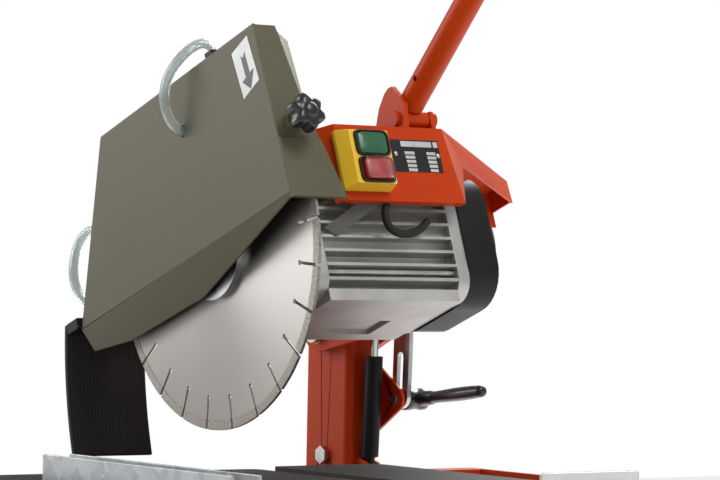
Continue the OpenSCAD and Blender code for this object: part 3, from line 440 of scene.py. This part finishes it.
label_field("label_field_top", 175, 213, 78.5, 84.5)
label_field("label_field_end", 215, 220.5, 78.5, 84.5)
for row in range(5):
    tall = 73.5 - 4.5 * row
    label_field("label_field_left_%d" % row, 178 + row * 0.3, 190, tall - 3.2, tall)
    label_field("label_field_right_%d" % row, 205 + row * 0.3, 216, tall - 3.2, tall)


def lathe(profile, count=32):
    """Rings of a turned part: radius and height along its axis, carried round a circle."""
    profile = np.asarray(profile, float)
    angle = np.linspace(0, 2 * np.pi, count, endpoint=False)
    r, h = profile[:, 0][:, None], profile[:, 1][:, None]
    return np.stack(np.broadcast_arrays(r * np.cos(angle), r * np.sin(angle), h), -1)


def set_along(points, start, way):
    """Turned rings laid with their axis along a direction from a start point."""
    way = np.asarray(way, float) / np.linalg.norm(way)
    first = np.cross(way, [0.31, 0.95, 0.05])
    first = first / np.linalg.norm(first)
    second = np.cross(way, first)
    return np.asarray(start) + points[..., :1] * first + points[..., 1:2] * second + points[..., 2:] * way


def fit(name, points, material, body, slot, **closed):
    """A finished piece that rides on a body. Its slot argument is not used."""
    piece = grid(name, points, around=True, **closed)
    piece.data.materials.append(material)
    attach(piece, body)
    return piece


dome = [[0, 1.5], [1.1, 1.35], [2.0, 0.9], [2.5, 0.3], [2.6, 0], [0, 0]]
for count, (x, z) in enumerate([(167, 71), (219, 70)]):
    fit("label_rivet_%d" % count, from_head(set_along(lathe(dome, 20), [x, plate_y, z], [0, -1, 0])),
        rivet, "head", "zinc")

# ---- screws of switch and cover ----------------------------------------------------
# Pan-head cross-slot screws hold the switch housing, button heads hold the cover.
screw_head = [[0, 1.0], [0.7, 1.0], [0.9, 1.9], [2.4, 1.6], [3.2, 0.9], [3.4, 0], [0, 0]]
places = [(98, 34, -101), (146, 34, -111), (98, 88, -101)]
for count, (x, z, y) in enumerate(places):
    fit("switch_screw_%d" % count, from_head(set_along(lathe(screw_head, 24) * 0.7, [x, y, z], [0, -1, 0])),
        zinc, "head", "zinc")
button_head = [[0, 0.9], [1.6, 0.9], [1.8, 2.6], [3.8, 2.0], [5.0, 0.8], [5.2, 0], [0, 0]]
for count, (x, y) in enumerate([(120, 40), (240, 40), (340, 40)]):
    fit("cover_screw_%d" % count, from_head(set_along(lathe(button_head, 24), [x, y, 100], [0, 0, 1])),
        zinc, "head", "zinc")

# ---- clear flap over the stop button -------------------------------------------------
# A thin wedge of clear polycarbonate hangs over the red cap, so it reads as frosted red.
clear, clear_shader = finish_of("clear_polycarbonate", Transmission_Weight=0.9, IOR=1.3,
                                Roughness=0.15, Alpha=0.22)
clear_shader.inputs["Base Color"].default_value = linear("f0dcd8")
wedge_u = np.linspace(0, 1, 7)
wedge_v = np.linspace(0, 1, 7)
wedge_x = 110.5 + 33.5 * wedge_u[:, None] + 0 * wedge_v[None, :]
wedge_z = 33.8 + 23.6 * wedge_v[None, :] + 0 * wedge_u[:, None]
wedge_swell = np.minimum(wedge_u[:, None] * 1.6, (1 - wedge_u[:, None]) * 2.6).clip(0, 1)
wedge_y = -119.6 - 5.5 * wedge_swell * (1 - 0.35 * wedge_v[None, :])
flap_cover = grid("stop_flap", from_head(np.stack([wedge_x, wedge_y, wedge_z], -1)))
flap_cover.modifiers.new("wall", "SOLIDIFY").thickness = 0.0008
flap_cover.data.materials.append(clear)
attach(flap_cover, "stop_button")

# ---- direction arrow on the guard ----------------------------------------------------
# A silver foil parallelogram with a plain dark arrow, which points the way the blade
# turns at the front.
silver, silver_shader = finish_of("silver_foil", Metallic=0.6)
mottle(silver, silver_shader, "a9abab", "b9bbbb", 40.0, 500.0, 0.00001, (0.35, 0.45))
# Where the guard's outer sheet lies across the head.
OUTER = -30.0


def decal(name, outline, lift, thick, material):
    """A thin foil cut to an outline of Y, Z points, laid on the guard's outer sheet."""
    outline = np.asarray(outline, float)
    middle = outline.mean(0)
    rings = []
    under, over = OUTER - lift, OUTER - lift - thick
    for share, x in ((0.0, under), (1.0, under), (1.0, over), (0.0, over)):
        flat_ring = middle + (outline - middle) * share
        rings.append(np.column_stack([np.full(len(outline), x), flat_ring]))
    piece = fit(name, from_head(np.array(rings)), material, "guard", "zinc")
    piece.data.polygons.foreach_set("use_smooth", [False] * len(piece.data.polygons))


decal("arrow_foil", [(-157, 161), (-163, 113), (-133, 105), (-127, 154)], 0.0, 0.25, silver)
decal("arrow_shaft", [(-148, 148), (-150.5, 126), (-143, 124), (-140.5, 146), (-144.3, 143)],
      0.25, 0.15, foil)
decal("arrow_head", [(-158, 127), (-147.5, 110), (-136, 121), (-146.5, 124.5)], 0.25, 0.16, foil)

# ---- guard knob ----------------------------------------------------------------------
# A six-lobed black phenolic star knob with a domed centre cap, on a zinc stud that is
# screwed into the welded boss of the guard's front wall.
phenolic, phenolic_shader = finish_of("black_phenolic", IOR=1.55, Coat_Weight=0.15)
mottle(phenolic, phenolic_shader, "141415", "1b1b1c", 30.0, 900.0, 0.00004, (0.28, 0.4))
lobe_angle = np.linspace(0, 2 * np.pi, 96, endpoint=False)
lobe_steps = np.array([[0.0, 0.0], [0.45, 0.0], [0.8, 0.6], [0.96, 2.5], [1.0, 5.5],
                       [1.0, 11.0], [0.97, 14.5], [0.86, 17.2], [0.66, 18.2], [0.5, 18.3],
                       [0.46, 19.8], [0.3, 21.0], [0.0, 21.3]])
wave = (0.5 + 0.5 * np.cos(6 * lobe_angle)) ** 0.8
knob_reach, lobe_depth = 19.0, 5.0
knob_radius = knob_reach - lobe_depth * (1 - wave)
share = lobe_steps[:, 0][:, None]
blend_round = np.clip((share - 0.5) / 0.4, 0, 1)
knob_r = share * (knob_reach * (1 - blend_round) * 0.8 + knob_radius * blend_round)
knob_rings = np.stack(np.broadcast_arrays(knob_r * np.cos(lobe_angle), knob_r * np.sin(lobe_angle),
                                          lobe_steps[:, 1][:, None]), -1)
knob = fit("star_knob", from_head(set_along(knob_rings, [-12, -192, 64], [0, -1, 0])),
           phenolic, "guard_knob", "black_plastic")
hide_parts("guard_knob")
thread_h = np.linspace(0, 22, 67)
thread = np.column_stack([4.0 - 0.25 * (1 + np.cos(thread_h / 1.25 * 2 * np.pi)), thread_h])
thread = np.vstack([[0, 0], thread, [0, 22]])
fit("knob_stud", from_head(set_along(lathe(thread, 24), [-12, -174.5, 64], [0, -1, 0])),
    zinc, "guard_knob", "zinc")

# ---- handle grip ---------------------------------------------------------------------
# A moulded rubber sleeve with shallow finger rings and a rounded end, pushed on the tube.
GRIP_RISE = np.radians(26.5)
tube_way = np.array([0, -np.cos(GRIP_RISE), np.sin(GRIP_RISE)])
tube_foot = np.array([205, -88, 128])
grip_h = np.linspace(0, 1, 90)
grip_r = 16.6 + 0.5 * np.cos(grip_h * 115 / 9 * 2 * np.pi) - 0.6 * (grip_h < 0.02)
grip = np.column_stack([grip_r, 301 + 118 * grip_h])
grip = np.vstack([[13.3, 301], [18.8, 301], [19.2, 303], [18.8, 305], grip[3:],
                  [15.5, 422], [11, 424.4], [0, 425]])
grip_piece = fit("grip_sleeve", from_head(set_along(lathe(grip, 40), tube_foot, tube_way)),
                 rubber, "handle", "black_rubber")
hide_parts("handle_grip")

# ---- weld beads ----------------------------------------------------------------------
# Hand-laid fillet welds, painted over: a row of overlapping ripples about 3.5 mm wide.
def bead(name, points, body, radius):
    """A tube along straight runs whose radius ripples with each laid drop."""
    points = np.asarray(points, float)
    gaps = np.linalg.norm(np.diff(points, axis=0), axis=1)
    at = np.concatenate([[0], np.cumsum(gaps)])
    s = np.linspace(0, at[-1], max(12, int(at[-1] / 0.6)))
    line = np.column_stack([np.interp(s, at, points[:, k]) for k in range(3)])
    way = np.gradient(line, axis=0)
    way = way / np.linalg.norm(way, axis=1)[:, None]
    first = np.cross(way, [0.3, 0.5, 0.81])
    first = first / np.linalg.norm(first, axis=1)[:, None]
    second = np.cross(way, first)
    angle = np.linspace(0, 2 * np.pi, 10, endpoint=False)
    r = radius * (0.85 + 0.15 * np.abs(np.sin(s / 2.4 * np.pi)))[:, None, None]
    cosine, sine = np.cos(angle)[None, :, None], np.sin(angle)[None, :, None]
    ring = cosine * first[:, None, :] + sine * second[:, None, :]
    fit(name, from_head(line[:, None, :] + r * ring), orange, body, "orange_paint", caps=True)


bead("axle_sleeve_weld", [[193, -82, 122.6], [219, -82, 122.6]], "handle", 1.6)
bead("gusset_weld", [[185.8, -93, 100.8], [185.8, -40, 100.8]], "head", 1.8)
bead("arm_weld", [[251.4, 80.6, -29], [251.4, 80.6, 29]], "head", 1.8)

# ---- lock lever ----------------------------------------------------------------------
# Zinc die-cast clamping lever with a black textured coat: a ribbed hub on the lock bolt
# and a tapered arm with a rounded end.
lever_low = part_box("lock_lever")[0]


def from_axis(points):
    """Points in millimetres from the blade's centre along the frame's axes, as metres."""
    return blade_centre + np.asarray(points, float) / 1000


hub_profile = [[3.2, 0], [11, 0], [11.6, 1], [11.6, 8], [10.6, 9],
               [10.6, 19], [11.4, 20], [11.4, 26], [9.5, 28], [3.2, 28]]
hub_x = lever_low[0] * 1000 - blade_centre[0] * 1000
hub = fit("lever_hub", from_axis(set_along(lathe(hub_profile, 36), [hub_x, 117, -153], [1, 0, 0])),
          phenolic, "lock_lever", "black_plastic", along=True)
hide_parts("lock_lever")
arm_s = np.linspace(0, 1, 40)
arm_swell = 1.6 * np.sin(np.clip((arm_s - 0.18) / 0.82, 0, 1) * np.pi)
arm_r = np.where(arm_s < 0.18, 8.5 - 6 * arm_s, 6.2 + arm_swell * arm_s)
arm = np.vstack([[0, 0], np.column_stack([arm_r, arm_s * 104]), [5.4, 106.5], [3.4, 108], [0, 108.6]])
fit("lever_arm", from_axis(set_along(lathe(arm, 28), [335, 111, -152.5], [0, -0.9925, 0.122])),
    phenolic, "lock_lever", "black_plastic")

# ---- water hoses ---------------------------------------------------------------------
# Clear PVC tube of 10 mm with a 1.5 mm wall. One loop leaves the guard's outer sheet and
# passes over its top, the other leaves the rear edge and turns back into the guard.
pvc, pvc_shader = finish_of("clear_pvc_tube", Transmission_Weight=0.85, IOR=1.33, Roughness=0.08, Alpha=0.75)
pvc_shader.inputs["Base Color"].default_value = linear("e6efec")
HOSE_OVER = [(-28, -23, 116), (-33, -23, 117), (-40, -22, 124), (-44, -22, 135),
             (-46, -24, 148), (-46, -31, 160), (-44, -40, 170), (-38, -50, 180),
             (-29, -57, 188), (-17, -60, 194), (-7, -59, 193), (-2, -58, 187)]
HOSE_REAR = [(-10, 180, 91), (-10, 188, 92), (-12, 202, 96), (-15, 217, 91), (-18, 228, 76), (-19, 234, 58),
             (-16, 235, 41), (-10, 231, 28), (-3, 223, 21), (0, 214, 21)]


def smooth_line(points, count):
    """A smooth line through points: cubics whose slopes are half the span of a point's neighbours."""
    points = np.asarray(points, float)
    padded = np.vstack([2 * points[0] - points[1], points, 2 * points[-1] - points[-2]])
    slope = (padded[2:] - padded[:-2]) / 2
    t = np.linspace(0, len(points) - 1, count)
    k = np.minimum(t.astype(int), len(points) - 2)
    f = (t - k)[:, None]
    return ((2 * f ** 3 - 3 * f ** 2 + 1) * points[k] + (f ** 3 - 2 * f ** 2 + f) * slope[k]
            + (3 * f ** 2 - 2 * f ** 3) * points[k + 1] + (f ** 3 - f ** 2) * slope[k + 1])


def tube(line, radius, count=20):
    """Circles carried along a line, each square to it, with a frame that doesn't twist."""
    way = np.gradient(line, axis=0)
    way = way / np.linalg.norm(way, axis=1)[:, None]
    side_way = np.zeros_like(way)
    side_way[0] = np.cross(way[0], [0.3, 0.2, 1])
    for i in range(1, len(way)):
        side_way[i] = side_way[i - 1] - way[i] * (side_way[i - 1] @ way[i])
        side_way[i] /= np.linalg.norm(side_way[i])
    side_way[0] /= np.linalg.norm(side_way[0])
    other = np.cross(way, side_way)
    angle = np.linspace(0, 2 * np.pi, count, endpoint=False)
    cosine, sine = np.cos(angle)[None, :, None], np.sin(angle)[None, :, None]
    ring = cosine * side_way[:, None, :] + sine * other[:, None, :]
    return line[:, None, :] + radius * ring


for name, route, replaced in (("hose_over", HOSE_OVER, True), ("hose_rear", HOSE_REAR, False)):
    line = smooth_line(route, 110)
    outer, inner = tube(line, 5.0), tube(line, 3.5)
    wall = np.concatenate([outer, inner[::-1]])
    hose = fit(name, from_head(wall), pvc, "guard", "clear_pvc", along=True)
    if replaced:
        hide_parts("water_hose")

# ---- splash flap ---------------------------------------------------------------------
# A 4 mm black rubber sheet with 0.9 mm upright ribs, clamped by a bar to the guard's rear
# and hanging in a slight bow behind the blade.
FLAP_RADIUS, FLAP_TURN, RIBS = 450.0, np.radians(17), 24
flap_x = np.linspace(-34, 60, RIBS * 6 + 1)
flap_a = np.linspace(0, FLAP_TURN, 40)
rib = 0.9 * np.abs(np.sin((flap_x + 34) / 94 * RIBS * np.pi))
front_r = FLAP_RADIUS + 1.0 - rib
back_r = np.full_like(flap_x, FLAP_RADIUS + 5)
profile_x = np.concatenate([flap_x, flap_x[::-1]])
profile_r = np.concatenate([front_r, back_r])
flap_y = 225 - FLAP_RADIUS + profile_r[None, :] * np.cos(flap_a)[:, None]
flap_z = -80 - profile_r[None, :] * np.sin(flap_a)[:, None]
flap = fit("ribbed_flap", from_axis(np.stack([np.broadcast_to(profile_x, flap_y.shape), flap_y, flap_z], -1)),
           rubber, "guard", "black_rubber", caps=True)
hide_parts("splash_flap")
bar_corner = np.array([(219.4, -3), (241, -3), (241, 8), (219.4, 8)])
bar_x = np.array([-34.0, -33.4, 59.4, 60.0])
bar_scale = np.array([0.93, 1, 1, 0.93])
bar_mid = bar_corner.mean(0)
bar_yz = bar_mid + (bar_corner - bar_mid)[None] * bar_scale[:, None, None]
bar_rings = np.concatenate([np.broadcast_to(bar_x[:, None, None], (4, 4, 1)), bar_yz], -1)
clamp_bar = fit("flap_clamp_bar", from_head(bar_rings), nylon, "guard", "black_rubber", caps=True)
clamp_bar.data.polygons.foreach_set("use_smooth", [False] * len(clamp_bar.data.polygons))
for count, x in enumerate((-20, 13, 46)):
    fit("flap_screw_%d" % count, from_head(set_along(lathe(button_head, 24), [x, 230, 8], [0, 0, 1])),
        zinc, "guard", "zinc")

# ---- switch cable ----------------------------------------------------------------------
# An 8 mm black rubber cable that hangs in one bow from under the switch to the motor's front.
cable_line = smooth_line([(150, -86, 20), (146, -86, 8), (150, -84, -3), (164, -80, -8),
                          (182, -77, -6), (196, -75, 0), (206, -74, 8)], 90)
cable = fit("cable_bow", from_head(tube(cable_line, 4.0)), rubber, "head", "black_rubber", caps=True)
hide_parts("switch_cable")

# ---- cover stay --------------------------------------------------------------------------
# A flat steel stay, painted grey, runs slantwise from the drive end up to the cover.
stay_coat, stay_shader = finish_of("grey_stay_coat", IOR=1.45)
mottle(stay_coat, stay_shader, "5e5e58", "6a6a63", 20.0, 700.0, 0.00004, (0.4, 0.5))
stay_line = np.array([(88, -70, -4), (118, -80, 14), (134, -85, 22)], float)
stay_edge = np.array([(-7, 0, 4), (7, 0, -4)], float)
stay_front = stay_line[:, None, :] + stay_edge[None]
stay_back = stay_line[:, None, :] + stay_edge[None, ::-1] + [0, 2, 0]
stay_rings = np.concatenate([stay_front, stay_back], 1)
stay = fit("cover_stay", from_head(stay_rings), stay_coat, "head", "zinc", caps=True)
stay.data.polygons.foreach_set("use_smooth", [False] * len(stay.data.polygons))
